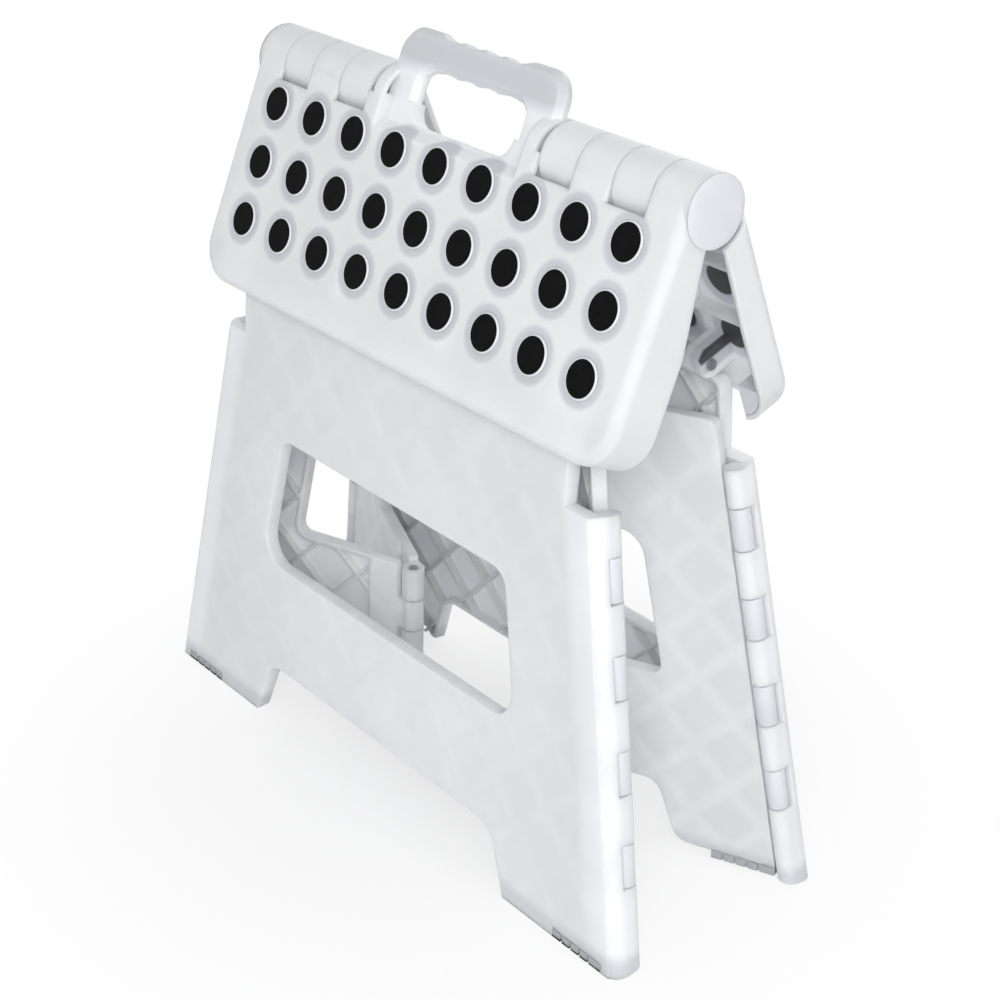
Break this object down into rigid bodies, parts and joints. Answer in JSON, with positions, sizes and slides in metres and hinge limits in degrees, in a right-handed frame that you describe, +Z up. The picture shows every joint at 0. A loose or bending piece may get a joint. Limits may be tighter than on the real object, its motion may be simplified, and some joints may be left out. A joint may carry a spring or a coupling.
{
  "type": "folding step stool",
  "caption": "Translucent white plastic folding step stool with round black grip dots, a carrying handle at the ridge, windowed leg panels and end panels that fold inward.",
  "frame": {"origin": "on the floor, under the middle of the half folded stool", "axes": "+X to the right along the length, +Y from the front leg to the rear leg, +Z up"},
  "size_m": [0.3606, 0.125, 0.3616],
  "materials": {
    "milky_plastic": "satin, slightly translucent",
    "black_rubber": "matt",
    "steel": "drawn wire"
  },
  "bodies": {
    "front_leg": {"front_leg": "milky_plastic", "front_leg_pin": "steel", "front_leg_pads": "black_rubber", "right_front_corner_pin": "steel", "left_front_corner_pin": "steel"},
    "front_seat": {"front_seat": "milky_plastic", "front_grip_dots": "black_rubber", "ridge_pin_right": "steel", "ridge_pin_left": "steel"},
    "right_front_end": {"right_front_panel": "milky_plastic", "right_front_pad": "black_rubber", "right_mid_pins": "steel"},
    "right_rear_end": {"right_rear_panel": "milky_plastic", "right_rear_pad": "black_rubber"},
    "rear_leg": {"rear_leg": "milky_plastic", "rear_leg_pin": "steel", "rear_leg_pads": "black_rubber", "right_rear_corner_pin": "steel", "left_rear_corner_pin": "steel"},
    "rear_seat": {"rear_seat": "milky_plastic", "rear_grip_dots": "black_rubber"},
    "left_front_end": {"left_front_panel": "milky_plastic", "left_front_pad": "black_rubber", "left_mid_pins": "steel"},
    "left_rear_end": {"left_rear_panel": "milky_plastic", "left_rear_pad": "black_rubber"}
  },
  "joints": [
    {"name": "fold", "type": "hinge", "parent": "front_leg", "child": "right_front_end", "pos_m": [0.15358, -0.04292, 0.1085], "axis": [0.1961, -0.0681, -0.9782], "range_deg": [-14.5, 70.7]},
    {"name": "right_middle", "type": "hinge", "parent": "right_front_end", "child": "right_rear_end", "pos_m": [0.04678, 0, 0.12735], "axis": [0.0281, 0, -0.9996], "range_deg": [-138.1, 28.4]},
    {"name": "right_rear_corner", "type": "hinge", "parent": "right_rear_end", "child": "rear_leg", "pos_m": [0.15358, 0.04292, 0.1085], "axis": [0.1961, 0.0681, -0.9782], "range_deg": [-14.6, 70.8]},
    {"name": "front_seat_hinge", "type": "hinge", "parent": "front_leg", "child": "front_seat", "pos_m": [0, -0.03334, 0.24609], "axis": [1, 0, 0], "range_deg": [-61.3, 12.7]},
    {"name": "rear_seat_hinge", "type": "hinge", "parent": "rear_leg", "child": "rear_seat", "pos_m": [0, 0.03334, 0.24609], "axis": [1, 0, 0], "range_deg": [-12.7, 61.3]},
    {"name": "left_front_corner", "type": "hinge", "parent": "front_leg", "child": "left_front_end", "pos_m": [-0.15358, -0.04292, 0.1085], "axis": [-0.1961, -0.0681, -0.9782], "range_deg": [-70.8, 14.6]},
    {"name": "left_rear_corner", "type": "hinge", "parent": "rear_leg", "child": "left_rear_end", "pos_m": [-0.15358, 0.04292, 0.1085], "axis": [-0.1961, 0.0681, -0.9782], "range_deg": [-14.6, 70.8]}
  ],
  "couplings": [
    {"joint": "right_middle", "follows": "fold", "ratio": -1.9518},
    {"joint": "right_rear_corner", "follows": "fold", "ratio": 1},
    {"joint": "front_seat_hinge", "follows": "fold", "ratio": -0.866},
    {"joint": "rear_seat_hinge", "follows": "fold", "ratio": 0.866},
    {"joint": "left_front_corner", "follows": "fold", "ratio": -1},
    {"joint": "left_rear_corner", "follows": "fold", "ratio": 1}
  ]
}
